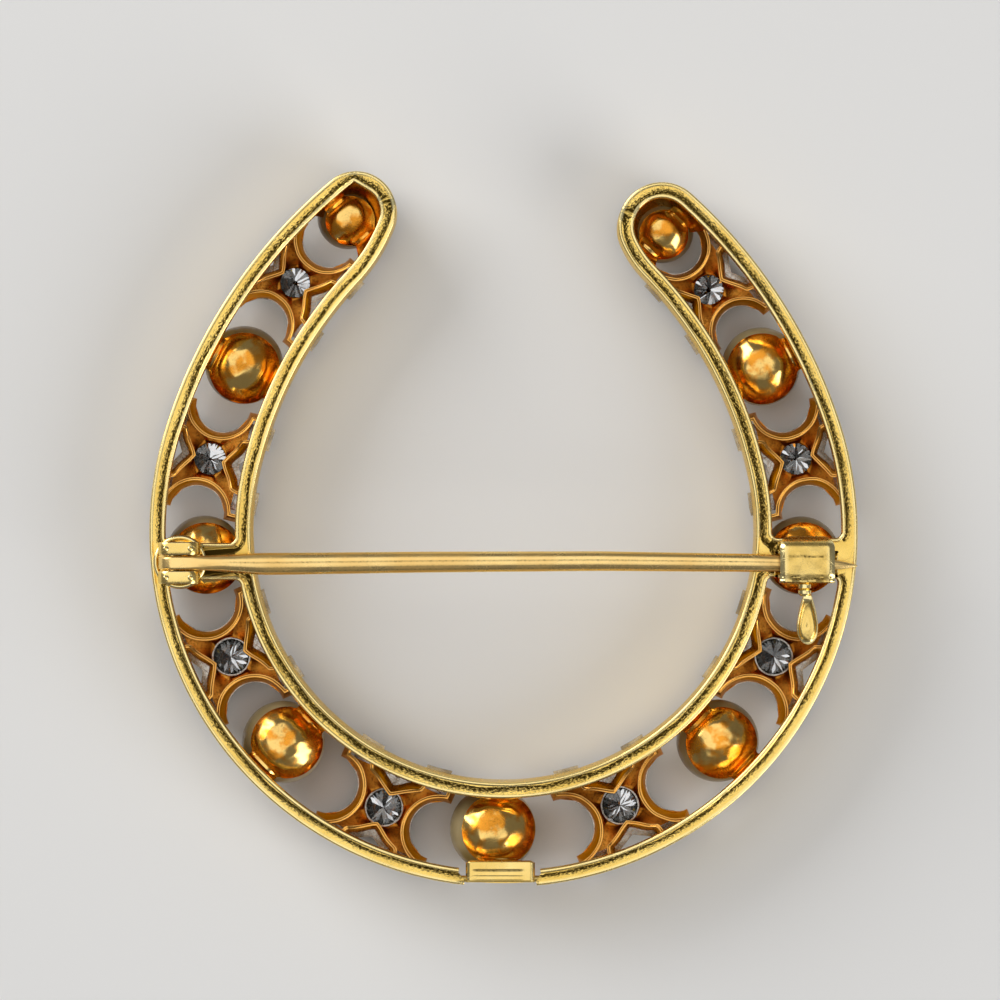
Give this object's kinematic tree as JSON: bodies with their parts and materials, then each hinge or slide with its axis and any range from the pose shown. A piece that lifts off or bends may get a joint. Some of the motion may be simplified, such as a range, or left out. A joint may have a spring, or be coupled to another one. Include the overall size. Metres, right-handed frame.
{
  "type": "horseshoe brooch",
  "caption": "Gold horseshoe brooch lying face down, with domed pearl cups and open star settings between two rims, a hinged pin, a rolling lever catch and a folded bail.",
  "frame": {"origin": "middle of the overall length and width, on the surface that the pearls rest on, with the brooch face down", "axes": "+Z is the back of the brooch, +Y is the open end of the horseshoe, +X is the catch side"},
  "size_m": [0.0354, 0.0358, 0.0073],
  "materials": {
    "yellow_gold": "polished with fine wear",
    "pin_gold": "satin, slightly rosier",
    "white_gold": "polished",
    "pearl": "soft nacre lustre",
    "diamond": "faceted and clear"
  },
  "bodies": {
    "brooch": {"gallery": "yellow_gold", "hinge_rivet": "yellow_gold", "bail_pin_left": "yellow_gold", "bail_pin_right": "yellow_gold", "star_plate_1": "white_gold", "star_plate_2": "white_gold", "star_plate_3": "white_gold", "star_plate_4": "white_gold", "star_plate_5": "white_gold", "star_plate_6": "white_gold", "star_plate_7": "white_gold", "star_plate_8": "white_gold", "diamond_1": "diamond", "diamond_2": "diamond", "diamond_3": "diamond", "diamond_4": "diamond", "diamond_5": "diamond", "diamond_6": "diamond", "diamond_7": "diamond", "diamond_8": "diamond", "pearl_1": "pearl", "pearl_2": "pearl", "pearl_3": "pearl", "pearl_4": "pearl", "pearl_5": "pearl", "pearl_6": "pearl", "pearl_7": "pearl", "pearl_8": "pearl", "pearl_9": "pearl"},
    "pin": {"pin_stem": "pin_gold"},
    "catch": {"catch_lever": "yellow_gold"},
    "bail": {"pendant_bail": "yellow_gold"}
  },
  "joints": [
    {"name": "pin_hinge", "type": "hinge", "parent": "brooch", "child": "pin", "pos_m": [-0.0165, -0.00168, 0.0061], "axis": [0, -1, 0], "range_deg": [0, 80]},
    {"name": "catch_roll", "type": "hinge", "parent": "brooch", "child": "catch", "pos_m": [0.01509, -0.00173, 0.0063], "axis": [-1, 0, 0], "range_deg": [0, 140]},
    {"name": "bail_fold", "type": "hinge", "parent": "brooch", "child": "bail", "pos_m": [-0.00016, -0.01749, 0.00462], "axis": [-1, 0, 0], "range_deg": [0, 90]}
  ]
}
